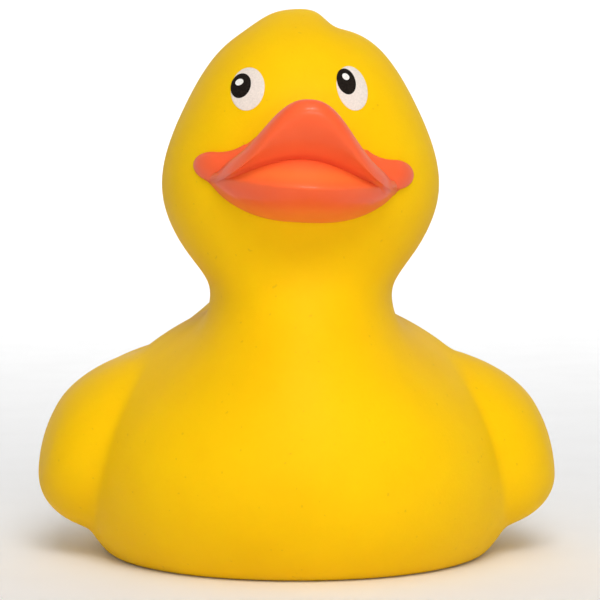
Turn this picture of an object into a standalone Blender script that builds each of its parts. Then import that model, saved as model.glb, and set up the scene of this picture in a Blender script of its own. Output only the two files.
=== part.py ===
"""Rubber bath duck: a hollow moulded vinyl body with its bill, wings and tail in one piece,
and a small squeaker pressed into the hole in its flat base.

The duck sits on its flat base at z = 0, centred on the origin, and faces -Y with +Z up.
Inside the shape functions lengths are in millimetres and "forward" is the distance
towards the bill, so forward = -y. Meshes are scaled to metres as they are made.
"""
import bpy
import bmesh
import numpy as np
from mathutils import Matrix, Vector

MM = 0.001
MERGE = 0.00001
BALANCE = 0.95          # the whole duck moved forwards, so that its box is centred

# Body and head: sections fanned out about the nape, from the tail's tip to the crown.
# Each has its upper (or back) point, its lower (or front) point, half its width, how
# square it is (2 is an ellipse), and how much its lower end is broader than its upper one.
SECTIONS = (
    # back: forward, height   front: forward, height   half width   square   broad
    (-43.6, 45.3, -43.9, 44.3, 0.4, 2.00, 0.00),
    (-42.2, 46.2, -43.4, 39.2, 5.4, 2.00, 0.00),
    (-37.8, 43.6, -41.6, 29.5, 11.2, 2.05, 0.00),
    (-32.0, 40.2, -38.6, 17.0, 19.0, 2.10, 0.04),
    (-26.2, 38.0, -33.8, 4.5, 27.0, 2.15, 0.06),
    (-20.6, 37.2, -24.5, -5.0, 32.2, 2.15, 0.07),
    (-16.0, 37.6, -8.0, -8.8, 34.6, 2.15, 0.08),
    (-12.8, 38.7, 11.5, -6.8, 34.0, 2.10, 0.08),
    (-10.6, 40.0, 27.2, 2.0, 29.8, 2.10, 0.08),
    (-9.5, 41.3, 34.5, 14.5, 23.4, 2.05, 0.13),
    (-8.9, 42.6, 33.3, 27.0, 16.4, 2.00, 0.10),
    (-8.8, 44.0, 28.8, 35.5, 14.0, 2.00, 0.00),
    (-9.6, 46.6, 26.0, 41.5, 14.4, 2.00, 0.00),
    (-11.2, 50.8, 25.5, 47.0, 17.9, 2.00, 0.00),
    (-12.8, 56.5, 27.5, 54.5, 20.8, 2.05, 0.00),
    (-12.9, 63.0, 28.2, 62.0, 20.5, 2.10, 0.00),
    (-11.3, 70.0, 27.0, 69.5, 17.7, 2.15, 0.00),
    (-7.5, 76.5, 23.0, 76.5, 13.8, 2.10, 0.00),
    (-0.8, 80.9, 16.0, 81.1, 8.4, 2.00, 0.00),
    (7.5, 82.4, 8.0, 82.4, 0.2, 2.00, 0.00),
)
HEAD_SECTIONS = slice(12, 19)
BASE_ROUND = 1.0        # how far above the base its edge starts to round in

# Wings: a pillow raised inside a drop-shaped outline, seen from the side.
SHOULDER = (-1.5, 17.8)
SHOULDER_RADIUS = 12.9
WING_TIP = (-31.0, 28.0)
WING_TIP_RADIUS = 2.2
WING_RISE = 5.8
WING_RIM = 7.5
WING_EDGE_SOFTNESS = 0.6

# Tuft on the crown: a low lump, gentle on one side and steep on the other.
TUFT_HEIGHT = 2.5
TUFT_CENTRE = (-0.8, 5.0)

# Bill: two lips swept from one corner of the mouth to the other.
BILL_HALF_WIDTH = 16.3
BILL_ROLL = np.radians(2.6)
BILL_ROLL_HEIGHT = 63.0
CORNER_ROUND = 3.0      # over which each lip closes to a point at its corner
ARCH_OFFSET, CREASE_OFFSET = 0.4, 0.8
ARCH_SHARE, LOWER_SHARE = 0.86, 0.895   # reach of each lip as a share of the bill's
LOBE_START, LOBE_END = 7.5, 3.0
LOBE_RADIUS, LOBE_HEIGHT = 2.2, 60.7
INSIDE = 1.6            # how deep the lips are rooted in the head's wall

WALL = 2.2              # thickness of the moulded vinyl
BODY_ROWS, BODY_COLUMNS = 64, 52
CAVITY_ROWS, CAVITY_COLUMNS = 30, 26
BILL_ROWS, LIP_COLUMNS = 25, 20
LOBE_ROWS, LOBE_COLUMNS = 13, 14

# Squeaker: a turned plastic plug with a groove that the wall of the base snaps into.
RECESS_RADIUS, RECESS_DEPTH = 10.8, 1.0
HOLE_RADIUS = 8.0
GAP = 0.3
SQUEAKER_AT = (0.0, -3.0)   # x and forward
SQUEAKER_SIDES = 40
FLANGE_FACE = 0.2
PIPE_RADIUS, PIPE_TOP = 5.0, 12.0
BORE_RADIUS, STEP_RADIUS, STEP_HEIGHT = 3.6, 2.0, 6.0
REED_RADIUS, REED_THICKNESS = 3.2, 0.4

YELLOW = (0.90, 0.56, 0.02, 1.0)
WHITE = (0.86, 0.85, 0.82, 1.0)
STEEL = (0.60, 0.60, 0.60, 1.0)


def natural_spline(values, at):
    """Smooth cubic curve through equally spaced rows of values, read at fractions of 0 to 1."""
    values = np.asarray(values, float)
    count = len(values)
    inner = np.arange(1, count - 1)
    system = np.eye(count)
    system[inner, inner] = 4.0
    system[inner, inner - 1] = 1.0
    system[inner, inner + 1] = 1.0
    bend = np.zeros_like(values)
    bend[1:-1] = 6.0 * (values[2:] - 2.0 * values[1:-1] + values[:-2])
    bend = np.linalg.solve(system, bend)
    place = np.asarray(at, float) * (count - 1)
    first = np.clip(np.floor(place).astype(int), 0, count - 2)
    right = (place - first)[..., None]
    left = 1.0 - right
    curve = (bend[first] * left ** 3 + bend[first + 1] * right ** 3) / 6.0
    curve += (values[first] - bend[first] / 6.0) * left
    curve += (values[first + 1] - bend[first + 1] / 6.0) * right
    return curve


def wing_depth(forward, height):
    """How far a point lies inside the wing's outline: two circles and their shared tangents."""
    along_f = WING_TIP[0] - SHOULDER[0]
    along_h = WING_TIP[1] - SHOULDER[1]
    length = np.hypot(along_f, along_h)
    along_f, along_h = along_f / length, along_h / length
    off_f, off_h = forward - SHOULDER[0], height - SHOULDER[1]
    along = off_f * along_f + off_h * along_h
    across = np.abs(off_h * along_f - off_f * along_h)
    taper = (SHOULDER_RADIUS - WING_TIP_RADIUS) / length
    straight = np.sqrt(1.0 - taper * taper)
    slant = along * straight - across * taper
    depth = SHOULDER_RADIUS - (along * taper + across * straight)
    shoulder = SHOULDER_RADIUS - np.hypot(along, across)
    tip = WING_TIP_RADIUS - np.hypot(along - length, across)
    depth = np.where(slant < 0.0, shoulder, depth)
    return np.where(slant > length * straight, tip, depth)


def wing_rise(x, forward, height, inset=0.0):
    """Sideways rise of the wing: a quarter ellipse over its rim, eased at the very edge."""
    depth = wing_depth(forward, height) - inset
    eased = 0.5 * (depth + np.hypot(depth, WING_EDGE_SOFTNESS))
    left = np.clip(1.0 - eased / WING_RIM, 0.0, 1.0)
    rise = np.sqrt(1.0 - left * left)
    rise *= np.clip((depth + 1.8) / 1.8, 0.0, 1.0) ** 2
    side = np.clip(np.abs(x) / 16.0, 0.0, 1.0)
    side = side * side * (3.0 - 2.0 * side)
    return np.sign(x) * WING_RISE * rise * side


def tuft_rise(x, forward):
    """Height of the tuft over the crown."""
    off = x - TUFT_CENTRE[0]
    gentle = np.abs(off / 6.6) ** 3.0
    steep = np.abs(off / 4.9) ** 4.5
    across = np.where(off < 0.0, gentle, steep)
    return TUFT_HEIGHT * np.exp(-across - ((forward - TUFT_CENTRE[1]) / 9.0) ** 2)


def body_points(rows, columns, low, high, detailed):
    """The body as rings between two fractions of the way from tail to crown."""
    along = np.linspace(low, high, rows)[:, None]
    turn = np.linspace(0.0, 2.0 * np.pi, columns, endpoint=False)[None]
    back_f, back_h, front_f, front_h, half, square, broad = (
        natural_spline(SECTIONS, along)[..., i] for i in range(7))
    cosine, sine = np.cos(turn), np.sin(turn)
    reach = (np.abs(cosine) ** square + np.abs(sine) ** square) ** (-1.0 / square)
    down, out = reach * cosine, reach * sine
    forward = (back_f + front_f) / 2.0 + (front_f - back_f) / 2.0 * down
    height = (back_h + front_h) / 2.0 + (front_h - back_h) / 2.0 * down
    x = np.maximum(half, 0.2) * out * (1.0 + broad * down)
    if detailed:
        x = x + wing_rise(x, forward, height)
        height = height + np.where(height > 70.0, tuft_rise(x, forward), 0.0)
    return x, forward, height


def flat_base(height, level=0.0):
    """Press what hangs below a level flat onto it, with a rounded edge."""
    above = height - level
    rounded = (above + BASE_ROUND) ** 2 / (4.0 * BASE_ROUND)
    pressed = np.where(above > BASE_ROUND, above, np.where(above < -BASE_ROUND, 0.0, rounded))
    return pressed + level


def head_front(x, height):
    """Forward place of the head's face at a sideways place and a height."""
    rings = np.array(SECTIONS)[HEAD_SECTIONS]
    level = (rings[:, 1] + rings[:, 3]) / 2.0
    middle = np.interp(height, level, (rings[:, 0] + rings[:, 2]) / 2.0)
    depth = np.interp(height, level, (rings[:, 2] - rings[:, 0]) / 2.0)
    half = np.interp(height, level, rings[:, 4])
    square = np.interp(height, level, rings[:, 5])
    inside = np.clip(1.0 - np.abs(x / half) ** square, 0.0, 1.0)
    return middle + depth * inside ** (1.0 / square)


def roll(x, height):
    """Turn a place of the bill a little about its middle, as the real bill sits."""
    lift = height - BILL_ROLL_HEIGHT
    rolled_x = x * np.cos(BILL_ROLL) + lift * np.sin(BILL_ROLL)
    return rolled_x, BILL_ROLL_HEIGHT + lift * np.cos(BILL_ROLL) - x * np.sin(BILL_ROLL)


def bill_frame(rows, reach):
    """The lines that both lips share, at places spread from corner to corner."""
    turn = np.linspace(-0.5 * np.pi, 0.5 * np.pi, rows)
    x = reach * np.sin(turn)
    bulge = np.cos(turn)
    close = np.clip((np.abs(x) - reach + CORNER_ROUND) / CORNER_ROUND, 0.0, 1.0)
    shrink = np.sqrt(1.0 - close ** 2)
    mouth = np.clip(np.cos(np.pi * (x + CREASE_OFFSET) / 27.0), 0.0, 1.0)
    return x, bulge, shrink, 58.4 + 4.6 * mouth ** 1.3


def upper_lip(rows):
    """Upturned upper lip: root, hollow, rim and slanting front, down to the mouth's crease."""
    x, bulge, shrink, crease_h = bill_frame(rows, ARCH_SHARE * BILL_HALF_WIDTH)
    edge_h = 61.6 + 7.4 * np.exp(-np.abs((x + ARCH_OFFSET) / 8.2) ** 2.4)
    rim_f = 22.7 + 18.8 * bulge ** 1.4
    face = np.minimum(head_front(x, edge_h), rim_f - 2.4)
    rim_h = 60.0 + 11.1 * np.exp(-np.abs((x + ARCH_OFFSET) / 8.3) ** 2.4)
    rim_h -= 0.2 * np.clip(np.abs(x) - 10.5, 0.0, None) ** 1.5
    crease_f = rim_f - 5.6 * bulge ** 3
    drop = rim_h - crease_h
    inner = np.minimum(head_front(x, crease_h) - INSIDE, crease_f - 2.6)
    loop = (
        (face - INSIDE, edge_h + 0.5),
        (face + 0.2, edge_h),
        (face + 0.45 * (rim_f - face), 0.5 * (edge_h + rim_h) - 1.5 * bulge),
        (rim_f - np.maximum(3.4 * bulge + 0.4, 1.9), rim_h - 0.3),
        (rim_f - 1.4, rim_h + 0.4),
        (rim_f + 0.2, rim_h - 0.4),
        (rim_f + 0.9 * bulge, rim_h - np.minimum(2.0, 0.3 * drop)),
        (0.5 * (rim_f + crease_f) + 1.9 * bulge, crease_h + 0.45 * drop - np.minimum(0.4, 0.1 * drop)),
        (crease_f + 1.6 * bulge, crease_h + np.minimum(0.5, 0.2 * drop)),
        (crease_f - 1.0, crease_h - 1.4),
        (inner, crease_h - 1.6),
    )
    return x, loop, shrink, 58.9


def lower_lip(rows):
    """Lower lip: a full front over a soft ridge, and an underside down to the throat."""
    x, bulge, shrink, crease_h = bill_frame(rows, LOWER_SHARE * BILL_HALF_WIDTH)
    edge_h = 53.2 + 5.0 * (np.abs(x) / 14.0) ** 2.8
    lip_f = 21.8 + 17.7 * bulge ** 1.5
    crease_f = lip_f - 4.0 * bulge ** 2
    face = np.minimum(head_front(x, edge_h), lip_f - 2.4)
    lip_h = 58.7 + 0.4 * (x / 11.0) ** 2
    under = 1.6 * np.clip((12.0 - np.abs(x)) / 2.5, 0.0, 1.0)
    top_h = np.maximum(crease_h + under, edge_h + 1.8)
    top_f = np.minimum(crease_f - 1.0, lip_f - 2.6)
    inner = np.minimum(head_front(x, crease_h) - INSIDE, top_f - 1.6)
    loop = (
        (inner, top_h),
        (top_f, top_h),
        (np.minimum(crease_f + 1.6, lip_f - 1.6), 0.62 * crease_h + 0.38 * lip_h + 0.5),
        (lip_f - 0.9, lip_h + 1.1),
        (lip_f + 0.2, lip_h + 0.1),
        (lip_f - 0.2, lip_h - 0.4),
        (lip_f - 2.6 * bulge ** 2, lip_h - 0.55 * (lip_h - edge_h)),
        (face + 0.40 * (lip_f - face), edge_h + 0.16 * (lip_h - edge_h)),
        (face + 0.2, edge_h - 0.2),
        (face - INSIDE, edge_h + 0.4),
    )
    return x, loop, shrink, 58.7


def lip_points(lip, rows, columns):
    """Sweep a lip's closed smooth loop from corner to corner, closing in at both ends."""
    x, loop, shrink, corner_h = lip(rows)
    loop = np.array(loop)
    corner = np.array((head_front(x[-1], corner_h) + 0.4, corner_h))[None, :, None]
    loop = corner + (loop - corner) * shrink
    count = len(loop)
    place = np.linspace(0.0, count, columns, endpoint=False)
    first = np.floor(place).astype(int)
    step = (place - first)[:, None, None]
    before, start, end, after = (loop[(first + i) % count] for i in (-1, 0, 1, 2))
    ring = (1.0 - step) ** 3 * before + (4.0 - 6.0 * step ** 2 + 3.0 * step ** 3) * start
    ring += (1.0 + 3.0 * step + 3.0 * step ** 2 - 3.0 * step ** 3) * end + step ** 3 * after
    ring /= 6.0
    forward, height = ring[:, 0].T, ring[:, 1].T
    rolled_x, rolled_h = roll(np.broadcast_to(x[:, None], forward.shape), height)
    return rolled_x, forward, rolled_h


def lobe_points(side, rows, columns):
    """A rounded corner of the bill: a roll with a round end, lying on the cheek."""
    turn = np.linspace(-0.5 * np.pi, 0.5 * np.pi, rows)
    x = 0.5 * (BILL_HALF_WIDTH + LOBE_START)
    x = x + 0.5 * (BILL_HALF_WIDTH - LOBE_START) * np.sin(turn)
    thick = BILL_HALF_WIDTH - LOBE_END
    past = np.clip((x - thick) / LOBE_END, 0.0, 1.0)
    inwards = np.clip(thick - x, 0.0, None)
    radius = LOBE_RADIUS * np.sqrt(1.0 - past ** 2) - 0.022 * inwards ** 2
    radius = radius * np.sqrt(np.clip((x - LOBE_START) / 1.5, 0.0, 1.0))
    middle_x, middle_h = roll(side * x, LOBE_HEIGHT + 0.06 * inwards ** 2.3)
    middle_f = head_front(middle_x, middle_h) + 0.10 * radius
    angle = np.linspace(0.0, 2.0 * np.pi, columns, endpoint=False)[None]
    around = radius[:, None]
    forward = middle_f[:, None] + 0.85 * around * np.cos(angle)
    height = middle_h[:, None] + around * np.sin(angle)
    return np.broadcast_to(middle_x[:, None], height.shape), forward, height


def closed_loft(name, points, collection):
    """Make a closed mesh from rings of points, with a point at each end."""
    x, forward, height = points
    rows, columns = x.shape
    mesh = bmesh.new()
    place = np.stack((x, -forward - BALANCE, height), axis=-1) * MM
    rings = [[mesh.verts.new(place[i, j]) for j in range(columns)] for i in range(1, rows - 1)]
    ends = [mesh.verts.new(place[i].mean(axis=0)) for i in (0, rows - 1)]
    for ring, following in zip(rings, rings[1:]):
        for j in range(columns):
            k = (j + 1) % columns
            mesh.faces.new((ring[j], ring[k], following[k], following[j]))
    for j in range(columns):
        k = (j + 1) % columns
        mesh.faces.new((ends[0], rings[0][k], rings[0][j]))
        mesh.faces.new((ends[1], rings[-1][j], rings[-1][k]))
    bmesh.ops.recalc_face_normals(mesh, faces=mesh.faces)
    return finish(name, mesh, collection)


def finish(name, mesh, collection):
    """Turn a bmesh into a smooth-shaded object in a collection."""
    data = bpy.data.meshes.new(name)
    mesh.to_mesh(data)
    mesh.free()
    data.shade_smooth()
    data.set_sharp_from_angle(angle=np.radians(40.0))
    piece = bpy.data.objects.new(name, data)
    collection.objects.link(piece)
    return piece


def squeaker_place(height):
    """A point on the squeaker's axis."""
    return Vector((SQUEAKER_AT[0], -SQUEAKER_AT[1] - BALANCE, height)) * MM


def cylinder(name, radius, bottom, top, collection):
    """An upright round cutter at the squeaker's place."""
    mesh = bmesh.new()
    centre = Matrix.Translation(squeaker_place((bottom + top) / 2.0))
    bmesh.ops.create_cone(mesh, cap_ends=True, segments=SQUEAKER_SIDES, radius1=radius * MM,
                          radius2=radius * MM, depth=(top - bottom) * MM, matrix=centre)
    return finish(name, mesh, collection)


def turned(name, profile, collection):
    """A closed ring turned about the squeaker's axis from a profile of radius and height."""
    data = bpy.data.meshes.new(name)
    verts = [(radius * MM, 0.0, height * MM) for radius, height in profile]
    count = len(verts)
    closing = 0 if profile[0][0] > 0.0 else 1
    edges = [(i, (i + 1) % count) for i in range(count - closing)]
    data.from_pydata(verts, edges, [])
    piece = bpy.data.objects.new(name, data)
    piece.location = squeaker_place(0.0)
    collection.objects.link(piece)
    screw = piece.modifiers.new("turn", "SCREW")
    screw.axis = "Z"
    screw.steps = SQUEAKER_SIDES
    screw.render_steps = SQUEAKER_SIDES
    screw.use_merge_vertices = True
    screw.merge_threshold = MERGE
    screw.use_smooth_shade = False
    return piece


def combine(piece, other, operation):
    """Add another shape to a piece, or cut it away."""
    boolean = piece.modifiers.new(other.name, "BOOLEAN")
    boolean.operation = operation
    boolean.object = other
    boolean.solver = "EXACT"
    other.hide_render = True
    other.display_type = "WIRE"


def material(piece, name, colour, roughness, metallic=0.0):
    """Give a piece its own Principled material."""
    surface = bpy.data.materials.new(name)
    surface.use_nodes = True
    shader = surface.node_tree.nodes["Principled BSDF"]
    shader.inputs["Base Color"].default_value = colour
    shader.inputs["Roughness"].default_value = roughness
    shader.inputs["Metallic"].default_value = metallic
    surface.diffuse_color = colour
    piece.data.materials.append(surface)


def cavity_points():
    """The hollow: the body's surface moved inwards by the wall, open wings included."""
    x, forward, height = body_points(CAVITY_ROWS, CAVITY_COLUMNS, 0.13, 0.985, False)
    place = np.stack((x, forward, height), axis=-1)
    around = np.roll(place, -1, axis=1) - np.roll(place, 1, axis=1)
    along = np.gradient(place, axis=0)
    normal = np.cross(around, along)
    normal /= np.linalg.norm(normal, axis=-1, keepdims=True) + 1e-9
    inward = place.mean(axis=1, keepdims=True) - place
    normal *= np.sign((normal * inward).sum(axis=-1, keepdims=True))
    x, forward, height = np.moveaxis(place + WALL * normal, -1, 0)
    x = x + wing_rise(x, forward, height, inset=2.5)
    return x, forward, flat_base(height, level=WALL)


def build_body(parts, cutters):
    """The duck itself: skin, lips, hollow, and the stepped hole for the squeaker."""
    x, forward, height = body_points(BODY_ROWS, BODY_COLUMNS, 0.0, 1.0, True)
    body = closed_loft("duck_body", (x, forward, flat_base(height)), parts)
    upper = closed_loft("upper_lip", lip_points(upper_lip, BILL_ROWS, LIP_COLUMNS), cutters)
    lower = closed_loft("lower_lip", lip_points(lower_lip, BILL_ROWS, LIP_COLUMNS), cutters)
    hollow = closed_loft("hollow", cavity_points(), cutters)
    recess = cylinder("base_recess", RECESS_RADIUS, -1.0, RECESS_DEPTH, cutters)
    hole = cylinder("base_hole", HOLE_RADIUS, -1.0, WALL + 2.0, cutters)
    combine(body, upper, "UNION")
    for side, name in ((-1.0, "right_corner"), (1.0, "left_corner")):
        lobe = closed_loft(name, lobe_points(side, LOBE_ROWS, LOBE_COLUMNS), cutters)
        combine(body, lobe, "UNION")
    combine(body, lower, "UNION")
    combine(body, hollow, "DIFFERENCE")
    combine(body, recess, "DIFFERENCE")
    combine(body, hole, "DIFFERENCE")
    material(body, "yellow_vinyl", YELLOW, 0.45)


def build_squeaker(parts):
    """The plug with its two flanges and pipe, and the reed on the step in its bore."""
    neck = HOLE_RADIUS - GAP
    groove_low = RECESS_DEPTH - GAP
    groove_high = WALL + GAP
    plug = (
        (STEP_RADIUS, FLANGE_FACE),
        (STEP_RADIUS, STEP_HEIGHT),
        (BORE_RADIUS, STEP_HEIGHT),
        (BORE_RADIUS, PIPE_TOP),
        (PIPE_RADIUS, PIPE_TOP),
        (PIPE_RADIUS, groove_high + 1.2),
        (HOLE_RADIUS + 1.2, groove_high + 0.9),
        (HOLE_RADIUS + 1.6, groove_high),
        (neck, groove_high),
        (neck, groove_low),
        (RECESS_RADIUS - 0.5, groove_low),
        (RECESS_RADIUS - 0.5, FLANGE_FACE),
    )
    housing = turned("squeaker_housing", plug, parts)
    material(housing, "white_plastic", WHITE, 0.35)
    low = STEP_HEIGHT + GAP
    disc = (
        (0.0, low + REED_THICKNESS),
        (REED_RADIUS, low + REED_THICKNESS),
        (REED_RADIUS, low),
        (0.0, low),
    )
    reed = turned("squeaker_reed", disc, parts)
    material(reed, "reed_steel", STEEL, 0.3, 1.0)


def main():
    """Clear the scene and build the duck."""
    for item in list(bpy.data.objects):
        bpy.data.objects.remove(item)
    parts = bpy.data.collections.new("rubber_duck")
    cutters = bpy.data.collections.new("cutters")
    bpy.context.scene.collection.children.link(parts)
    bpy.context.scene.collection.children.link(cutters)
    build_body(parts, cutters)
    build_squeaker(parts)
    bpy.context.view_layer.update()


main()
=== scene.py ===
"""The visible rubber duck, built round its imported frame.

Laid out as an add-on and run as a script: main() registers the classes and calls one
operator for each group of pieces and one for the stage. Shape functions work in
millimetres with "forward" towards the bill, so forward = -y, and meshes are scaled to
metres as they are made.
"""

import bpy
import numpy as np
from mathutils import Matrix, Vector


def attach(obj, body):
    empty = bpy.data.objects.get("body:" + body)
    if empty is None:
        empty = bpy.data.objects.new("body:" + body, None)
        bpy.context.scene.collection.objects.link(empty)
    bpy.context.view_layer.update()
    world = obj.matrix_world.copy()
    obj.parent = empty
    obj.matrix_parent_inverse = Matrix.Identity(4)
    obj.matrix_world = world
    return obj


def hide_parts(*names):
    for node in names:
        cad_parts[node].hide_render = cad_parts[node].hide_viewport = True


bl_info = {
    "name": "Rubber Duck",
    "version": (1, 0, 0),
    "blender": (4, 5, 0),
    "location": "3D View > Sidebar > Duck",
    "description": "Builds a moulded vinyl bath duck and its studio",
    "category": "Add Mesh",
}

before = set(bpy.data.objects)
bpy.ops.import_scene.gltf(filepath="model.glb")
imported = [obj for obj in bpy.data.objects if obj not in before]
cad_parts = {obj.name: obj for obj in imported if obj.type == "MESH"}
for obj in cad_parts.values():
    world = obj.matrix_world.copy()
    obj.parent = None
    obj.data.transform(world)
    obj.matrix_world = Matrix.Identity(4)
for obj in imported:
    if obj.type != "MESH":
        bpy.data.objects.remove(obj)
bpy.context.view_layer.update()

MM = 0.001
BODY = "root"
BALANCE = 0.95                      # the duck moved forwards, so that its box is centred

# Sections fanned out about the nape, from the tail's tip to the crown: the upper (or
# back) point, the lower (or front) point, half the width, how square the ring is (2 is
# an ellipse), and how much its lower end is broader than its upper one.
SECTIONS = np.array((
    # back: forward, height   front: forward, height   half width   square   broad
    (-43.6, 45.3, -43.9, 44.3, 0.4, 2.00, 0.00),
    (-42.2, 46.2, -43.4, 39.2, 5.4, 2.00, 0.00),
    (-37.8, 43.6, -41.6, 29.5, 11.2, 2.05, 0.00),
    (-32.0, 40.2, -38.6, 17.0, 19.0, 2.10, 0.04),
    (-26.2, 38.0, -33.8, 4.5, 27.0, 2.15, 0.06),
    (-20.6, 37.2, -24.5, -5.0, 32.2, 2.15, 0.07),
    (-16.0, 37.6, -8.0, -8.8, 34.6, 2.15, 0.08),
    (-12.8, 38.7, 11.5, -6.8, 34.0, 2.10, 0.08),
    (-10.6, 40.0, 27.2, 2.0, 29.8, 2.10, 0.08),
    (-9.5, 41.3, 34.5, 14.5, 23.4, 2.05, 0.13),
    (-8.9, 42.6, 33.3, 27.0, 16.4, 2.00, 0.10),
    (-8.8, 44.0, 28.8, 35.5, 14.0, 2.00, 0.00),
    (-9.6, 46.6, 26.0, 41.5, 14.4, 2.00, 0.00),
    (-11.2, 50.8, 25.5, 47.0, 17.9, 2.00, 0.00),
    (-12.8, 56.5, 27.5, 54.5, 20.8, 2.05, 0.00),
    (-12.9, 63.0, 28.2, 62.0, 20.5, 2.10, 0.00),
    (-11.3, 70.0, 27.0, 69.5, 17.7, 2.15, 0.00),
    (-7.5, 76.5, 23.0, 76.5, 13.8, 2.10, 0.00),
    (-0.8, 80.9, 16.0, 81.1, 8.4, 2.00, 0.00),
    (7.5, 82.4, 8.0, 82.4, 0.2, 2.00, 0.00),
))
HEAD_START = 12                     # the first section that belongs to the head
BASE_ROUND = 1.0                    # how far above the base its edge starts to round in

SHOULDER, SHOULDER_RADIUS = (-1.5, 17.8), 12.9
WING_TIP, WING_TIP_RADIUS = (-31.0, 28.0), 2.2
WING_RIM, WING_EDGE_SOFTNESS = 7.5, 0.6
TUFT_CENTRE = (-0.8, 5.0)

BILL_ROLL = np.radians(2.6)
BILL_ROLL_HEIGHT = 63.0
CORNER_ROUND = 3.0
ARCH_OFFSET, CREASE_OFFSET = 0.4, 0.8
ARCH_SHARE, LOWER_SHARE = 0.86, 0.895   # reach of each lip as a share of the bill's
LOBE_START, LOBE_END = 7.5, 3.0
LOBE_RADIUS, LOBE_HEIGHT = 2.2, 60.7
INSIDE = 1.6
FILM = 0.06                         # how far printed paint stands off the skin

# Each eye: the white, the pupil and the glint as (x, height, half long, half short, lean).
EYES = {
    "right": {
        "white": (-8.40, 72.65, 3.18, 2.40, 13.0),
        "pupil": (-9.36, 73.10, 1.88, 1.38, 24.0),
        "glint": (-9.52, 73.58, 0.62, 0.42, 60.0),
    },
    "left": {
        "white": (6.85, 72.75, 3.30, 2.25, -14.0),
        "pupil": (5.99, 73.72, 1.94, 1.36, -18.0),
        "glint": (5.90, 74.38, 0.58, 0.42, -52.0),
    },
}

SQUEAKER_AT = (0.0, -3.0)
RECESS_RADIUS, RECESS_DEPTH = 10.8, 1.0
HOLE_RADIUS, HOLE_DEPTH = 8.0, 14.0

LIP_GRID = (220, 160)               # rings along a lip, points round each
LOBE_GRID = (90, 96)
ROUND_SIDES = 96                    # sides of what is turned
CREASE_SHADE = (0.6, 0.4)           # strength and half width of the painted shade along the mouth's crease
THIN_AND_LIT = 0.55                   # strength of the thin, yellower paint on the lower lip, partly painted light: lighter where the lip faces up
THIN_AND_LIT_BANDS = ((60.4, 1.3), (54.0, 1.6))     # height and half width of its two bands; the upper is painted light on the lip's up-facing front

BACKDROP_RADIUS = 1.3               # the stage is in metres from here on
BACKDROP_BEND, BACKDROP_TOP = 0.5, 1.8
LIGHTS_AIM = (0.0, 0.0, 0.045)
CAMERA_AIM = (0.00025, -BALANCE * MM, 0.0399)
AIR_STRENGTH = 0.24                 # strength of the light from all round


# ---------------------------------------------------------------- settings

class DuckSizes(bpy.types.PropertyGroup):
    """Sizes of the duck's own features."""

    wing_rise: bpy.props.FloatProperty(
        name="Wing rise", description="How far the wings stand off the body",
        default=5.8 * MM, min=0.0, max=0.01, unit="LENGTH")
    tuft_height: bpy.props.FloatProperty(
        name="Tuft height", description="Height of the tuft over the crown",
        default=2.5 * MM, min=0.0, max=0.005, unit="LENGTH")
    bill_half_width: bpy.props.FloatProperty(
        name="Bill half width", description="From the middle of the bill to its corner",
        default=16.3 * MM, min=0.01, max=0.02, unit="LENGTH")
    body_rings: bpy.props.IntProperty(
        name="Body rings", description="Rings from the tail's tip to the crown",
        default=380, min=40, max=390)
    ring_points: bpy.props.IntProperty(
        name="Ring points", description="Points round each ring of the body",
        default=252, min=24, max=256)


class DuckColours(bpy.types.PropertyGroup):
    """Colours of the vinyl and its paints."""

    vinyl: bpy.props.FloatVectorProperty(
        name="Vinyl", description="Colour of the moulded yellow vinyl",
        default=(0.93, 0.555, 0.0015), size=3, min=0.0, max=1.0, subtype="COLOR")
    bill: bpy.props.FloatVectorProperty(
        name="Bill", description="Colour of the bill's paint",
        default=(0.95, 0.125, 0.035), size=3, min=0.0, max=1.0, subtype="COLOR")
    eye_white: bpy.props.FloatVectorProperty(
        name="Eye white", description="Colour of the white of the eyes",
        default=(0.80, 0.70, 0.62), size=3, min=0.0, max=1.0, subtype="COLOR")
    pupil: bpy.props.FloatVectorProperty(
        name="Pupil", description="Colour of the pupils",
        default=(0.006, 0.004, 0.003), size=3, min=0.0, max=1.0, subtype="COLOR")
    squeaker: bpy.props.FloatVectorProperty(
        name="Squeaker", description="Colour of the squeaker's plastic",
        default=(0.80, 0.79, 0.75), size=3, min=0.0, max=1.0, subtype="COLOR")


class StudioSettings(bpy.types.PropertyGroup):
    """Camera and light of the studio."""

    camera_distance: bpy.props.FloatProperty(
        name="Camera distance", description="From the camera to the duck's middle",
        default=0.450, min=0.2, max=2.0, unit="LENGTH")
    camera_height: bpy.props.FloatProperty(
        name="Camera height", description="Height of the camera over the floor",
        default=0.074, min=0.0, max=1.0, unit="LENGTH")
    camera_turn: bpy.props.FloatProperty(
        name="Camera turn", description="How far the camera stands round to the duck's right",
        default=np.radians(2.4), subtype="ANGLE")
    lens: bpy.props.FloatProperty(
        name="Lens", description="Focal length on a 36 mm sensor, in millimetres",
        default=174.4, min=20.0, max=400.0)
    key_power: bpy.props.FloatProperty(
        name="Key power", description="Power of the large soft light in front, in watts",
        default=0.69, min=0.0, max=100.0)
    top_power: bpy.props.FloatProperty(
        name="Top power", description="Power of the soft light overhead, in watts",
        default=0.13, min=0.0, max=100.0)
    fill_power: bpy.props.FloatProperty(
        name="Fill power", description="Power of the light near the floor, in watts",
        default=0.62, min=0.0, max=100.0)
    back_power: bpy.props.FloatProperty(
        name="Back power", description="Power of the light on the paper behind, in watts",
        default=6.0, min=0.0, max=100.0)


# ---------------------------------------------------------------- shape functions

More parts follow.
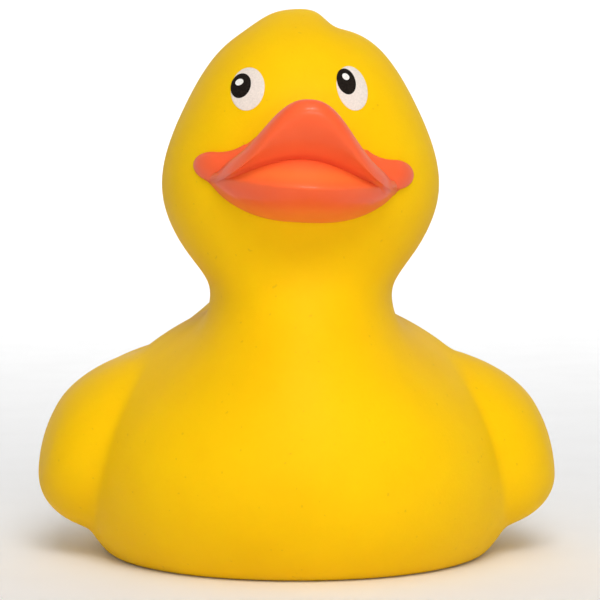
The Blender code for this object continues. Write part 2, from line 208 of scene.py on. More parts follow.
def natural_spline(values, at):
    """Natural cubic spline: equally spaced rows joined with continuous curvature.

    The bends at the rows solve the tridiagonal system (1, 4, 1), and between two rows
    the curve is the usual blend of both rows' values and bends. at runs from 0 to 1.
    """
    count = len(values)
    inner = np.arange(1, count - 1)
    system = np.eye(count)
    system[inner, inner] = 4.0
    system[inner, inner - 1] = 1.0
    system[inner, inner + 1] = 1.0
    bend = np.zeros_like(values)
    bend[1:-1] = 6.0 * (values[2:] - 2.0 * values[1:-1] + values[:-2])
    bend = np.linalg.solve(system, bend)
    place = np.asarray(at, float) * (count - 1)
    first = np.clip(np.floor(place).astype(int), 0, count - 2)
    right = (place - first)[..., None]
    left = 1.0 - right
    curve = (bend[first] * left ** 3 + bend[first + 1] * right ** 3) / 6.0
    curve += (values[first] - bend[first] / 6.0) * left
    curve += (values[first + 1] - bend[first + 1] / 6.0) * right
    return curve


def wing_depth(forward, height):
    """Distance inside the wing's outline, which is two circles and their shared tangents.

    Along the line from shoulder to tip the radius shrinks evenly, so between the circles
    the depth is the shoulder's radius less the distance across the slanted side.
    """
    along_f = WING_TIP[0] - SHOULDER[0]
    along_h = WING_TIP[1] - SHOULDER[1]
    length = np.hypot(along_f, along_h)
    along_f, along_h = along_f / length, along_h / length
    off_f, off_h = forward - SHOULDER[0], height - SHOULDER[1]
    along = off_f * along_f + off_h * along_h
    across = np.abs(off_h * along_f - off_f * along_h)
    taper = (SHOULDER_RADIUS - WING_TIP_RADIUS) / length
    straight = np.sqrt(1.0 - taper * taper)
    slant = along * straight - across * taper
    depth = SHOULDER_RADIUS - (along * taper + across * straight)
    shoulder = SHOULDER_RADIUS - np.hypot(along, across)
    tip = WING_TIP_RADIUS - np.hypot(along - length, across)
    depth = np.where(slant < 0.0, shoulder, depth)
    return np.where(slant > length * straight, tip, depth)


def wing_rise(x, forward, height, rise):
    """Sideways rise of the wing: rise times a quarter ellipse over the rim, eased at its edge."""
    depth = wing_depth(forward, height)
    eased = 0.5 * (depth + np.hypot(depth, WING_EDGE_SOFTNESS))
    left = np.clip(1.0 - eased / WING_RIM, 0.0, 1.0)
    swell = np.sqrt(1.0 - left * left) * np.clip((depth + 1.8) / 1.8, 0.0, 1.0) ** 2
    side = np.clip(np.abs(x) / 16.0, 0.0, 1.0)
    side = side * side * (3.0 - 2.0 * side)
    return np.sign(x) * rise * swell * side


def tuft_rise(x, forward, rise):
    """Height of the tuft: a bell that is gentle on one side and steep on the other."""
    off = x - TUFT_CENTRE[0]
    gentle = np.abs(off / 6.6) ** 3.0
    steep = np.abs(off / 4.9) ** 4.5
    across = np.where(off < 0.0, gentle, steep)
    return rise * np.exp(-across - ((forward - TUFT_CENTRE[1]) / 9.0) ** 2)


def flat_base(height):
    """Press what hangs below zero flat: zero, then a parabola, then the height itself."""
    rounded = (height + BASE_ROUND) ** 2 / (4.0 * BASE_ROUND)
    pressed = np.where(height < -BASE_ROUND, 0.0, rounded)
    return np.where(height > BASE_ROUND, height, pressed)


def body_surface(along, turn, sizes):
    """The body at a fraction of the way from tail to crown and an angle round the ring.

    Each ring is a superellipse between its back and front points, in polar form: the
    reach at an angle is (|cos|^n + |sin|^n)^(-1/n). Its width also grows by the broad
    term towards the front, the wing moves it sideways and the tuft lifts it.
    """
    back_f, back_h, front_f, front_h, half, square, broad = np.moveaxis(
        natural_spline(SECTIONS, along), -1, 0)
    cosine, sine = np.cos(turn), np.sin(turn)
    reach = (np.abs(cosine) ** square + np.abs(sine) ** square) ** (-1.0 / square)
    down, out = reach * cosine, reach * sine
    forward = (back_f + front_f) / 2.0 + (front_f - back_f) / 2.0 * down
    height = (back_h + front_h) / 2.0 + (front_h - back_h) / 2.0 * down
    x = np.maximum(half, 0.05) * out * (1.0 + broad * down)
    x = x + wing_rise(x, forward, height, sizes.wing_rise / MM)
    lift = tuft_rise(x, forward, sizes.tuft_height / MM)
    height = height + np.where(height > 70.0, lift, 0.0)
    return np.stack(np.broadcast_arrays(x, forward, height), axis=-1)


def on_face(x, height, sizes, lift=0.0):
    """The head's face at a sideways place and a height, moved out along its normal.

    Newton's method in two unknowns, along and turn, until the body's x and height agree
    with the ones asked for. The slopes are small central differences.
    """
    x, height = np.broadcast_arrays(np.asarray(x, float), np.asarray(height, float))
    levels = (SECTIONS[HEAD_START:, 1] + SECTIONS[HEAD_START:, 3]) / 2.0
    steps = np.arange(HEAD_START, len(SECTIONS)) / (len(SECTIONS) - 1.0)
    along = np.interp(height, levels, steps)
    half = np.interp(height, levels, SECTIONS[HEAD_START:, 4])
    turn = np.arcsin(np.clip(x / half, -0.97, 0.97))
    small = 1e-4
    for _ in range(12):
        here = body_surface(along, turn, sizes)
        by_along = (body_surface(along + small, turn, sizes)
                    - body_surface(along - small, turn, sizes)) / (2.0 * small)
        by_turn = (body_surface(along, turn + small, sizes)
                   - body_surface(along, turn - small, sizes)) / (2.0 * small)
        miss_x, miss_h = x - here[..., 0], height - here[..., 2]
        size = by_along[..., 0] * by_turn[..., 2] - by_along[..., 2] * by_turn[..., 0]
        size = np.where(np.abs(size) < 1e-6, 1e-6, size)
        add_along = (miss_x * by_turn[..., 2] - miss_h * by_turn[..., 0]) / size
        add_turn = (by_along[..., 0] * miss_h - by_along[..., 2] * miss_x) / size
        along = np.clip(along + np.clip(add_along, -0.02, 0.02), 0.55, 0.999)
        turn = np.clip(turn + np.clip(add_turn, -0.2, 0.2), -1.56, 1.56)
    here = body_surface(along, turn, sizes)
    normal = np.cross(by_turn, by_along)
    normal /= np.linalg.norm(normal, axis=-1, keepdims=True) + 1e-9
    normal *= np.where(normal[..., 1:2] < 0.0, -1.0, 1.0)
    return here + lift * normal


def roll(x, height):
    """Turn a place of the bill a little about its middle, as the real bill sits."""
    lift = height - BILL_ROLL_HEIGHT
    rolled_x = x * np.cos(BILL_ROLL) + lift * np.sin(BILL_ROLL)
    return rolled_x, BILL_ROLL_HEIGHT + lift * np.cos(BILL_ROLL) - x * np.sin(BILL_ROLL)


def bill_frame(rows, reach):
    """The lines both lips share. Sideways places are the sine of an angle spread evenly."""
    turn = np.linspace(-0.5 * np.pi, 0.5 * np.pi, rows)
    x = reach * np.sin(turn)
    bulge = np.cos(turn)
    close = np.clip((np.abs(x) - reach + CORNER_ROUND) / CORNER_ROUND, 0.0, 1.0)
    shrink = np.sqrt(1.0 - close ** 2)
    return x, bulge, shrink, crease_height(x)


def crease_height(x):
    """Height of the mouth's line: a power of a cosine, a little to one side."""
    return 58.4 + 4.6 * np.clip(np.cos(np.pi * (x + CREASE_OFFSET) / 27.0), 0.0, 1.0) ** 1.3


def upper_lip(rows, sizes):
    """Upturned upper lip: root, hollow, rim and slanting front, down to the crease.

    The rim is a half ellipse from above and a broad bell from the front.
    """
    reach = ARCH_SHARE * sizes.bill_half_width / MM
    x, bulge, shrink, crease_h = bill_frame(rows, reach)
    edge_h = 61.6 + 7.4 * np.exp(-np.abs((x + ARCH_OFFSET) / 8.2) ** 2.4)
    face = on_face(x, edge_h, sizes)[:, 1]
    rim_f = 22.7 + 18.8 * bulge ** 1.4
    crease_f = rim_f - 5.6 * bulge ** 3
    rim_h = 60.0 + 11.1 * np.exp(-np.abs((x + ARCH_OFFSET) / 8.3) ** 2.4)
    rim_h -= 0.2 * np.clip(np.abs(x) - 10.5, 0.0, None) ** 1.5
    inner = on_face(x, crease_h, sizes)[:, 1] - INSIDE
    loop = (
        (face - INSIDE, edge_h + 0.5),
        (face + 0.2, edge_h),
        (face + 0.45 * (rim_f - face), 0.5 * (edge_h + rim_h) - 1.5 * bulge),
        (rim_f - 3.4 * bulge - 0.4, rim_h - 0.3),
        (rim_f - 1.4, rim_h + 0.4),
        (rim_f + 0.2, rim_h - 0.4),
        (rim_f + 0.9 * bulge, rim_h - 2.0),
        (0.5 * (rim_f + crease_f) + 1.9 * bulge, 0.45 * rim_h + 0.55 * crease_h - 0.4),
        (crease_f + 1.6 * bulge, crease_h + 0.5),
        (crease_f - 1.0, crease_h - 1.4),
        (inner, crease_h - 1.6),
    )
    return x, np.array(loop), shrink, 58.9


def lower_lip(rows, sizes):
    """Lower lip: a full front over a soft ridge, and an underside down to the throat."""
    reach = LOWER_SHARE * sizes.bill_half_width / MM
    x, bulge, shrink, crease_h = bill_frame(rows, reach)
    edge_h = 53.2 + 5.0 * (np.abs(x) / 14.0) ** 2.8
    face = on_face(x, edge_h, sizes)[:, 1]
    lip_f = 21.8 + 17.7 * bulge ** 1.5
    crease_f = lip_f - 4.0 * bulge ** 2
    lip_h = 58.7 + 0.4 * (x / 11.0) ** 2
    under = 1.6 * np.clip((12.0 - np.abs(x)) / 2.5, 0.0, 1.0)
    inner = on_face(x, crease_h, sizes)[:, 1] - INSIDE
    loop = (
        (inner, crease_h + under),
        (crease_f - 1.0, crease_h + under),
        (crease_f + 1.6, 0.62 * crease_h + 0.38 * lip_h + 0.5),
        (lip_f - 0.9, lip_h + 1.1),
        (lip_f + 0.2, lip_h + 0.1),
        (lip_f - 0.2, lip_h - 0.4),
        (lip_f - 2.6 * bulge ** 2, lip_h - 0.55 * (lip_h - edge_h)),
        (face + 0.40 * (lip_f - face), edge_h + 0.16 * (lip_h - edge_h)),
        (face + 0.2, edge_h - 0.2),
        (face - INSIDE, edge_h + 0.4),
    )
    return x, np.array(loop), shrink, 58.7


def lip_surface(lip, rows, columns, sizes):
    """A lip swept from corner to corner.

    Across, the loop is a closed cubic B-spline of its points. At the corners it shrinks
    as a quarter circle to one point on the cheek, and the whole bill is rolled a little.
    """
    x, loop, shrink, corner_h = lip(rows, sizes)
    corner_f = on_face(x[-1], corner_h, sizes)[1] + 0.4
    corner = np.array((corner_f, corner_h))[None, :, None]
    loop = corner + (loop - corner) * shrink
    count = len(loop)
    place = np.linspace(0.0, count, columns, endpoint=False)
    first = np.floor(place).astype(int)
    step = (place - first)[:, None, None]
    before, start, end, after = (loop[(first + i) % count] for i in (-1, 0, 1, 2))
    ring = (1.0 - step) ** 3 * before + (4.0 - 6.0 * step ** 2 + 3.0 * step ** 3) * start
    ring += (1.0 + 3.0 * step + 3.0 * step ** 2 - 3.0 * step ** 3) * end + step ** 3 * after
    ring /= 6.0
    forward, height = ring[:, 0].T, ring[:, 1].T
    rolled_x, rolled_h = roll(np.broadcast_to(x[:, None], forward.shape), height)
    return np.stack((rolled_x, forward, rolled_h), axis=-1)


def lobe_surface(side, rows, columns, sizes):
    """A rounded corner of the bill: a roll with a round end, lying on the cheek.

    Its radius is even up to the round end, which is a quarter circle, and thins with the
    square of the distance inwards. Its middle line climbs towards the arch.
    """
    reach = sizes.bill_half_width / MM
    turn = np.linspace(-0.5 * np.pi, 0.5 * np.pi, rows)
    x = 0.5 * (reach + LOBE_START) + 0.5 * (reach - LOBE_START) * np.sin(turn)
    thick = reach - LOBE_END
    past = np.clip((x - thick) / LOBE_END, 0.0, 1.0)
    inwards = np.clip(thick - x, 0.0, None)
    radius = LOBE_RADIUS * np.sqrt(1.0 - past ** 2) - 0.022 * inwards ** 2
    radius = radius * np.sqrt(np.clip((x - LOBE_START) / 1.5, 0.0, 1.0))
    middle_x, middle_h = roll(side * x, LOBE_HEIGHT + 0.06 * inwards ** 2.3)
    middle_f = on_face(middle_x, middle_h, sizes)[:, 1] + 0.10 * radius
    angle = np.linspace(0.0, 2.0 * np.pi, columns, endpoint=False)[None]
    around = radius[:, None]
    forward = middle_f[:, None] + 0.85 * around * np.cos(angle)
    height = middle_h[:, None] + around * np.sin(angle)
    return np.stack((np.broadcast_to(middle_x[:, None], height.shape), forward, height), axis=-1)


def print_surface(outline, lift, sizes, rings=20, sides=96):
    """A printed patch: an ellipse of paint laid on the head's face.

    Rings run from the rim to the middle. The outer two turn down into the skin, so that
    the film has an edge, and the rest follow the face at the film's thickness.
    """
    x, height, long_half, short_half, lean = outline
    lean = np.radians(lean)
    radius = np.concatenate(((1.0, 1.0), np.linspace(0.985, 0.0, rings)))[:, None]
    sink = np.concatenate(((-0.25, 0.4 * lift), np.full(rings, lift)))[:, None, None]
    angle = np.linspace(0.0, 2.0 * np.pi, sides, endpoint=False)[None]
    along, across = radius * long_half * np.cos(angle), radius * short_half * np.sin(angle)
    off_x = along * np.sin(lean) + across * np.cos(lean)
    off_h = along * np.cos(lean) - across * np.sin(lean)
    return on_face(x + off_x, height + off_h, sizes, sink)


# ---------------------------------------------------------------- meshes

def grid_mesh(name, points, first_pole=True):
    """A mesh of a grid that wraps round its columns, with poles for its end rows.

    Faces join each point to its neighbours in the next row and column. A pole is the
    mean of its row and is joined by triangles; a first row with no pole is one face.
    """
    rows, columns = points.shape[:2]
    place = np.stack((points[..., 0], -points[..., 1] - BALANCE, points[..., 2]), axis=-1) * MM
    low, high = (1 if first_pole else 0), rows - 1
    verts = place[low:high].reshape(-1, 3)
    index = np.arange(len(verts)).reshape(high - low, columns)
    beside = np.roll(index, -1, axis=1)
    quads = np.stack((index[:-1], beside[:-1], beside[1:], index[1:]), axis=-1).reshape(-1, 4)
    faces = quads.tolist()
    ends = []
    if first_pole:
        pole = np.full(columns, len(verts))
        ends.append(place[0].mean(axis=0))
        faces += np.stack((pole, beside[0], index[0]), axis=-1).tolist()
    else:
        faces.append(index[0][::-1].tolist())
    pole = np.full(columns, len(verts) + len(ends))
    ends.append(place[-1].mean(axis=0))
    faces += np.stack((pole, index[-1], beside[-1]), axis=-1).tolist()
    verts = np.vstack((verts, np.array(ends)))
    mesh = bpy.data.meshes.new(name)
    mesh.from_pydata(verts.tolist(), [], faces)
    mesh.validate()
    turn_outwards(mesh)
    mesh.shade_smooth()
    return mesh


def turn_outwards(mesh):
    """Flip a closed mesh whose volume is negative, by the sum of its corner tetrahedra."""
    mesh.calc_loop_triangles()
    corners = np.empty(len(mesh.loop_triangles) * 3, dtype=np.int32)
    mesh.loop_triangles.foreach_get("vertices", corners)
    place = np.empty(len(mesh.vertices) * 3)
    mesh.vertices.foreach_get("co", place)
    one, two, three = np.moveaxis(place.reshape(-1, 3)[corners.reshape(-1, 3)], 1, 0)
    if np.einsum("ij,ij->", one, np.cross(two, three)) < 0.0:
        mesh.flip_normals()


def add_piece(name, mesh, surface):
    """Link a piece to the scene, give it its material, and let it ride on the duck."""
    piece = bpy.data.objects.new(name, mesh)
    bpy.context.scene.collection.objects.link(piece)
    mesh.materials.clear()
    mesh.materials.append(surface)
    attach(piece, BODY)
    return piece


def paint_attribute(mesh, name, values):
    """Store one number for each vertex, for a material to read."""
    layer = mesh.attributes.new(name, "FLOAT", "POINT")
    layer.data.foreach_set("value", np.asarray(values, dtype=np.float32))


def vertex_places(mesh):
    """Vertices as x, forward and height in millimetres."""
    place = np.empty(len(mesh.vertices) * 3)
    mesh.vertices.foreach_get("co", place)
    x, y, height = place.reshape(-1, 3).T / MM
    return x, -y - BALANCE, height


# ---------------------------------------------------------------- materials

class Nodes:
    """A small helper that adds and joins the nodes of one material."""

    def __init__(self, name):
        self.material = bpy.data.materials.new(name)
        self.material.use_nodes = True
        self.tree = self.material.node_tree
        self.shader = self.tree.nodes["Principled BSDF"]
        self.place = self.add("ShaderNodeTexCoord").outputs["Object"]

    def add(self, kind, **settings):
        node = self.tree.nodes.new(kind)
        for key, value in settings.items():
            setattr(node, key, value)
        return node

    def join(self, source, target):
        self.tree.links.new(source, target)

    def noise(self, scale, detail=3.0, rough=0.5):
        node = self.add("ShaderNodeTexNoise")
        node.inputs["Scale"].default_value = scale
        node.inputs["Detail"].default_value = detail
        node.inputs["Roughness"].default_value = rough
        self.join(self.place, node.inputs["Vector"])
        return node.outputs["Fac"]

    def spread(self, value, low, high, to_low=0.0, to_high=1.0):
        """Stretch a range of values to another range, held at its ends."""
        node = self.add("ShaderNodeMapRange")
        for slot, number in zip(("From Min", "From Max", "To Min", "To Max"),
                                (low, high, to_low, to_high)):
            node.inputs[slot].default_value = number
        self.join(value, node.inputs["Value"])
        return node.outputs["Result"]

    def mix(self, share, one, two):
        """Blend two colours, each a colour or the output of another node."""
        node = self.add("ShaderNodeMix", data_type="RGBA")
        for slot, colour in ((6, one), (7, two)):
            if isinstance(colour, bpy.types.NodeSocket):
                self.join(colour, node.inputs[slot])
            else:
                node.inputs[slot].default_value = (*colour, 1.0)
        self.join(share, node.inputs[0])
        return node.outputs[2]

    def attribute(self, name):
        return self.add("ShaderNodeAttribute", attribute_name=name).outputs["Fac"]

    def bump(self, height, strength, distance, under=None):
        node = self.add("ShaderNodeBump")
        node.inputs["Strength"].default_value = strength
        node.inputs["Distance"].default_value = distance
        self.join(height, node.inputs["Height"])
        if under is not None:
            self.join(under, node.inputs["Normal"])
        return node.outputs["Normal"]

    def set(self, **values):
        """Join outputs to the shader's sockets, or set plain numbers straight on them."""
        for key, value in values.items():
            socket = self.shader.inputs[key.replace("_", " ")]
            if isinstance(value, bpy.types.NodeSocket):
                self.join(value, socket)
            else:
                socket.default_value = value


def shade(colour, factor):
    """A colour made lighter or darker."""
    return tuple(min(1.0, part * factor) for part in colour)


def vinyl_material(colours):
    """Matt soft vinyl: faint clouds of tone, a fine skin and rare dark specks."""
    nodes = Nodes("yellow_vinyl")
    base = tuple(colours.vinyl)
    darkened = (base[0] * 0.93, base[1] * 0.90, base[2] * 0.8)
    cloud = nodes.spread(nodes.noise(38.0, 3.0, 0.55), 0.32, 0.68)
    colour = nodes.mix(cloud, darkened, base)
    grain = nodes.spread(nodes.noise(1500.0, 2.0, 0.6), 0.25, 0.75, 0.0, 0.05)
    colour = nodes.mix(grain, colour, shade(base, 0.72))
    specks = nodes.spread(nodes.noise(1500.0, 0.0), 0.82, 0.86, 0.0, 0.2)
    colour = nodes.mix(specks, colour, (0.42, 0.22, 0.02))
    fine = nodes.bump(nodes.noise(2100.0, 2.0, 0.6), 0.12, 0.0002)
    skin = nodes.bump(nodes.noise(240.0, 2.0, 0.5), 0.10, 0.0006, fine)
    rough = nodes.spread(nodes.noise(90.0, 3.0), 0.3, 0.7, 0.50, 0.60)
    nodes.set(Base_Color=colour, Roughness=rough, Normal=skin)
    nodes.set(Subsurface_Weight=0.18, Subsurface_Scale=0.002, Specular_IOR_Level=0.06)
    nodes.shader.inputs["Subsurface Radius"].default_value = (1.0, 0.5, 0.1)
    return nodes.material


def bill_material(colours):
    """Glossy brushed-on orange paint: thinner on the lower lip, with painted light where it faces
    up, and painted shade darkening the crease.
    """
    nodes = Nodes("orange_paint")
    base = tuple(colours.bill)
    cloud = nodes.spread(nodes.noise(150.0, 3.0, 0.6), 0.3, 0.7)
    colour = nodes.mix(cloud, (base[0] * 0.96, base[1] * 0.90, base[2] * 0.85), base)
    # thinner paint and painted light: a lighter, yellower orange on the lower lip's bands
    thin_and_lit = (base[0], base[1] * 1.7, base[2] * 1.1)
    colour = nodes.mix(nodes.attribute("thin_and_lit"), colour, thin_and_lit)
    # painted shade: the paint made darker along the mouth's crease
    darkened = nodes.attribute("darkened")
    colour = nodes.mix(darkened, colour, (base[0] * 0.80, base[1] * 0.62, base[2] * 0.7))
    orange_peel = nodes.bump(nodes.noise(700.0, 2.0), 0.10, 0.0002)
    rough = nodes.spread(nodes.noise(260.0, 2.0), 0.3, 0.7, 0.38, 0.48)
    nodes.set(Base_Color=colour, Roughness=rough, Normal=orange_peel)
    nodes.set(Subsurface_Weight=0.06, Subsurface_Scale=0.001, Coat_Weight=0.22,
              Coat_Roughness=0.12, Specular_IOR_Level=0.15)
    return nodes.material


def eye_material(name, colour, speck, rough):
    """Printed eye paint with the fine speckle of the vinyl under it."""
    nodes = Nodes(name)
    grain = nodes.spread(nodes.noise(3400.0, 2.0, 0.7), 0.35, 0.70, 0.0, 1.0)
    tone = nodes.mix(grain, colour, speck)
    film = nodes.bump(nodes.noise(2300.0, 2.0), 0.10, 0.0001)
    rough = nodes.spread(nodes.noise(900.0, 2.0), 0.3, 0.7, rough - 0.05, rough + 0.05)
    nodes.set(Base_Color=tone, Roughness=rough, Normal=film, Specular_IOR_Level=0.06)
    return nodes.material


def plastic_material(colours):
    """Plain moulded plastic of the squeaker, with faint flow marks."""
    nodes = Nodes("white_plastic")
    base = tuple(colours.squeaker)
    flow = nodes.spread(nodes.noise(160.0, 4.0, 0.6), 0.3, 0.7)
    nodes.set(Base_Color=nodes.mix(flow, shade(base, 0.95), base))
    nodes.set(Roughness=nodes.spread(nodes.noise(420.0, 2.0), 0.3, 0.7, 0.30, 0.40))
    nodes.set(Normal=nodes.bump(nodes.noise(1200.0, 2.0), 0.08, 0.0001))
    return nodes.material


def steel_material():
    """Thin rolled strip of the reed."""
    nodes = Nodes("reed_metal")
    grain = nodes.spread(nodes.noise(2400.0, 2.0), 0.3, 0.7)
    nodes.set(Base_Color=nodes.mix(grain, (0.48, 0.48, 0.47), (0.62, 0.62, 0.60)))
    nodes.set(Metallic=1.0, Roughness=nodes.spread(grain, 0.0, 1.0, 0.25, 0.4))
    return nodes.material


def floor_material():
    """Pale seamless paper."""
    nodes = Nodes("studio_paper")
    fibre = nodes.spread(nodes.noise(60.0, 3.0), 0.3, 0.7)
    nodes.set(Base_Color=nodes.mix(fibre, (0.93, 0.93, 0.93), (0.95, 0.95, 0.95)))
    nodes.set(Roughness=0.9, Specular_IOR_Level=0.1)
    return nodes.material


# ---------------------------------------------------------------- operators

class DUCK_OT_body(bpy.types.Operator):
    """Build the moulded body with its head, wings, tail and tuft"""

    bl_idname = "duck.body"
    bl_label = "Duck body"

    def execute(self, context):
        sizes, colours = context.scene.duck_sizes, context.scene.duck_colours
        along = np.linspace(0.0, 1.0, sizes.body_rings)[:, None]
        turn = np.linspace(0.0, 2.0 * np.pi, sizes.ring_points, endpoint=False)[None]
        points = body_surface(along, turn, sizes)
        points[..., 2] = flat_base(points[..., 2])
        body = add_piece("duck_skin", grid_mesh("duck_skin", points),
                         vinyl_material(colours))
        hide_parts("duck_body")
        return {"FINISHED"}


class DUCK_OT_bill(bpy.types.Operator):
    """Build the two painted lips of the bill and their rounded corners"""

    bl_idname = "duck.bill"
    bl_label = "Bill"

    def execute(self, context):
        sizes, colours = context.scene.duck_sizes, context.scene.duck_colours
        paint = bill_material(colours)
        surfaces = {
            "upper_bill": lip_surface(upper_lip, *LIP_GRID, sizes),
            "lower_bill": lip_surface(lower_lip, *LIP_GRID, sizes),
            "right_bill_corner": lobe_surface(-1.0, *LOBE_GRID, sizes),
            "left_bill_corner": lobe_surface(1.0, *LOBE_GRID, sizes),
        }
        for name, points in surfaces.items():
            mesh = grid_mesh(name, points)
            piece = add_piece(name, mesh, paint)
            x, _, height = vertex_places(mesh)
            level_x, height = roll(-x, height)
            # painted shade along the mouth's crease, stored for the paint to darken
            off = height - crease_height(-level_x)
            strength, width = CREASE_SHADE
            paint_attribute(mesh, "darkened", strength * np.exp(-(off / width) ** 2))
            # thinner paint and painted light on the lower lip's bands, stored for the paint
            thin_and_lit = sum(np.exp(-((height - at) / width) ** 2) for at, width in THIN_AND_LIT_BANDS)
            paint_attribute(mesh, "thin_and_lit", THIN_AND_LIT * thin_and_lit * (name == "lower_bill"))
            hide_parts("duck_body")
        return {"FINISHED"}


class DUCK_OT_eyes(bpy.types.Operator):
    """Print the eyes: white, pupil and glint"""

    bl_idname = "duck.eyes"
    bl_label = "Eyes"

    def execute(self, context):
        sizes, colours = context.scene.duck_sizes, context.scene.duck_colours
        white = tuple(colours.eye_white)
        dark = tuple(colours.pupil)
        layers = (
            ("white", 1.0, eye_material("eye_white", white, shade(white, 0.86), 0.42)),
            ("pupil", 2.0, eye_material("eye_pupil", dark, (0.022, 0.015, 0.011), 0.45)),
            ("glint", 3.0, eye_material("eye_glint", (0.88, 0.86, 0.82), (0.7, 0.66, 0.6), 0.4)),
        )
        for side, outlines in EYES.items():
            for layer, depth, paint in layers:
                name = f"{side}_eye_{layer}"
                points = print_surface(outlines[layer], depth * FILM, sizes)
                mesh = grid_mesh(name, points, first_pole=False)
                piece = add_piece(name, mesh, paint)
                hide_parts("duck_body")
        return {"FINISHED"}


class DUCK_OT_squeaker(bpy.types.Operator):
    """Cut the squeaker's stepped hole in the base and finish the squeaker"""

    bl_idname = "duck.squeaker"
    bl_label = "Squeaker"

    def execute(self, context):
        body = bpy.data.objects["duck_skin"]
        for radius, depth in ((RECESS_RADIUS, RECESS_DEPTH), (HOLE_RADIUS, HOLE_DEPTH)):
            self.cut(context, body, radius, depth)
        finishes = {
            "squeaker_housing": plastic_material(context.scene.duck_colours),
            "squeaker_reed": steel_material(),
        }
        for node, surface in finishes.items():
            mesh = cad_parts[node].data
            mesh.materials.clear()
            mesh.materials.append(surface)
        return {"FINISHED"}

    @staticmethod
    def cut(context, body, radius, depth):
        """Cut an upright round pocket of a depth into the base, with an exact Boolean."""
        angle = np.linspace(0.0, 2.0 * np.pi, ROUND_SIDES, endpoint=False)[None]
        levels = np.array((-2.0, -2.0, depth, depth))[:, None]
        radii = np.array((0.0, radius, radius, 0.0))[:, None]
        points = np.stack(np.broadcast_arrays(
            SQUEAKER_AT[0] + radii * np.cos(angle),
            SQUEAKER_AT[1] + radii * np.sin(angle), levels), axis=-1)
        cutter = bpy.data.objects.new("pocket", grid_mesh("pocket", points))
        context.scene.collection.objects.link(cutter)
        boolean = body.modifiers.new("pocket", "BOOLEAN")
        boolean.operation, boolean.object, boolean.solver = "DIFFERENCE", cutter, "EXACT"
        context.view_layer.update()
        shaped = bpy.data.meshes.new_from_object(
            body.evaluated_get(context.evaluated_depsgraph_get()))
        body.modifiers.clear()
        body.data = shaped
        bpy.data.objects.remove(cutter)


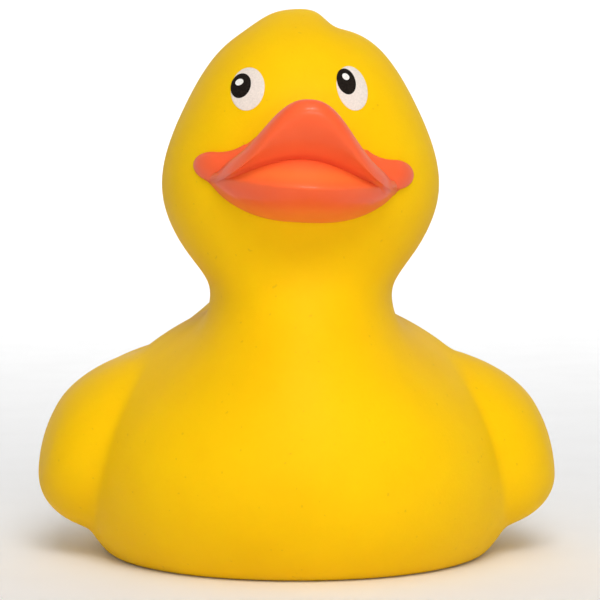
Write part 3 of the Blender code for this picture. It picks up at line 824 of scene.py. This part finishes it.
class DUCK_OT_studio(bpy.types.Operator):
    """Set up the pale backdrop, the soft lights and the camera"""

    bl_idname = "duck.studio"
    bl_label = "Studio"

    def execute(self, context):
        studio = context.scene.duck_studio
        self.backdrop(context)
        self.lights(context, studio)
        self.camera(context, studio)
        world = bpy.data.worlds.new("studio_air")
        world.use_nodes = True
        air = world.node_tree.nodes["Background"]
        air.inputs["Color"].default_value = (1.0, 1.0, 1.0, 1.0)
        air.inputs["Strength"].default_value = AIR_STRENGTH
        context.scene.world = world
        context.scene.view_settings.view_transform = "Standard"
        return {"FINISHED"}

    @staticmethod
    def backdrop(context):
        """A round paper backdrop: a flat floor, a quarter round and an upright wall, turned."""
        bend = BACKDROP_BEND
        rise = np.linspace(0.0, 0.5 * np.pi, 24)
        reach = np.concatenate(((0.0,), BACKDROP_RADIUS - bend + bend * np.sin(rise),
                                (BACKDROP_RADIUS,)))[:, None]
        up = np.concatenate(((0.0,), bend - bend * np.cos(rise), (BACKDROP_TOP,)))[:, None]
        angle = np.linspace(0.0, 2.0 * np.pi, ROUND_SIDES, endpoint=False)[None]
        place = np.stack(np.broadcast_arrays(
            reach * np.cos(angle), reach * np.sin(angle), up), axis=-1)
        index = np.arange(place.shape[0] * ROUND_SIDES).reshape(-1, ROUND_SIDES)
        beside = np.roll(index, -1, axis=1)
        faces = np.stack((index[:-1], index[1:], beside[1:], beside[:-1]), axis=-1)
        mesh = bpy.data.meshes.new("paper_backdrop")
        mesh.from_pydata(place.reshape(-1, 3).tolist(), [], faces.reshape(-1, 4).tolist())
        mesh.shade_smooth()
        mesh.materials.append(floor_material())
        paper = bpy.data.objects.new("paper_backdrop", mesh)
        context.scene.collection.objects.link(paper)

    @staticmethod
    def lights(context, studio):
        """A key in front and above, a soft top light, a low front fill and one for the paper."""
        plan = (
            ("key_light", (0.05, -0.66, 0.62), LIGHTS_AIM, 0.45, 70.0, studio.key_power),
            ("top_light", (0.05, -0.25, 0.85), LIGHTS_AIM, 0.60, 70.0, studio.top_power),
            ("low_light", (0.05, -0.70, 0.03), LIGHTS_AIM, 0.60, 70.0, studio.fill_power),
            ("back_light", (0.0, 0.30, 1.00), (0.0, 1.30, 0.10), 0.80, 130.0, studio.back_power),
        )
        for name, place, target, size, spread, power in plan:
            lamp = bpy.data.lights.new(name, "AREA")
            lamp.shape = "RECTANGLE"
            lamp.size, lamp.size_y = size, size * 0.7
            lamp.energy = power
            lamp.spread = np.radians(spread)
            holder = bpy.data.objects.new(name, lamp)
            holder.location = place
            aim = Vector(target) - Vector(place)
            holder.rotation_euler = aim.to_track_quat("-Z", "Y").to_euler()
            context.scene.collection.objects.link(holder)

    @staticmethod
    def camera(context, studio):
        """A long lens level with the head, tipped down to the middle of the duck."""
        turn, distance = studio.camera_turn, studio.camera_distance
        place = Vector((-distance * np.sin(turn), -distance * np.cos(turn) - BALANCE * MM,
                        studio.camera_height))
        lens = bpy.data.cameras.new("camera")
        lens.lens = studio.lens
        lens.sensor_width = 36.0
        lens.clip_start = 0.01
        lens.dof.use_dof = False
        holder = bpy.data.objects.new("camera", lens)
        holder.location = place
        aim = Vector(CAMERA_AIM) - place
        holder.rotation_euler = aim.to_track_quat("-Z", "Y").to_euler()
        context.scene.collection.objects.link(holder)
        context.scene.camera = holder


class DUCK_PT_panel(bpy.types.Panel):
    """The duck's pieces and settings in the sidebar"""

    bl_label = "Rubber Duck"
    bl_idname = "DUCK_PT_panel"
    bl_space_type = "VIEW_3D"
    bl_region_type = "UI"
    bl_category = "Duck"

    def draw(self, context):
        for group in (context.scene.duck_sizes, context.scene.duck_colours,
                      context.scene.duck_studio):
            for key in group.bl_rna.properties.keys():
                if key not in ("rna_type", "name"):
                    self.layout.prop(group, key)
        for operator in OPERATORS:
            self.layout.operator(operator.bl_idname)


OPERATORS = (DUCK_OT_body, DUCK_OT_bill, DUCK_OT_eyes, DUCK_OT_squeaker, DUCK_OT_studio)
CLASSES = (DuckSizes, DuckColours, StudioSettings) + OPERATORS + (DUCK_PT_panel,)


def register():
    for cls in CLASSES:
        bpy.utils.register_class(cls)
    bpy.types.Scene.duck_sizes = bpy.props.PointerProperty(type=DuckSizes)
    bpy.types.Scene.duck_colours = bpy.props.PointerProperty(type=DuckColours)
    bpy.types.Scene.duck_studio = bpy.props.PointerProperty(type=StudioSettings)


def unregister():
    for name in ("duck_sizes", "duck_colours", "duck_studio"):
        delattr(bpy.types.Scene, name)
    for cls in reversed(CLASSES):
        bpy.utils.unregister_class(cls)


def main():
    """Build everything in order."""
    register()
    bpy.ops.duck.body()
    bpy.ops.duck.bill()
    bpy.ops.duck.eyes()
    bpy.ops.duck.squeaker()
    bpy.ops.duck.studio()


if __name__ == "__main__":
    main()
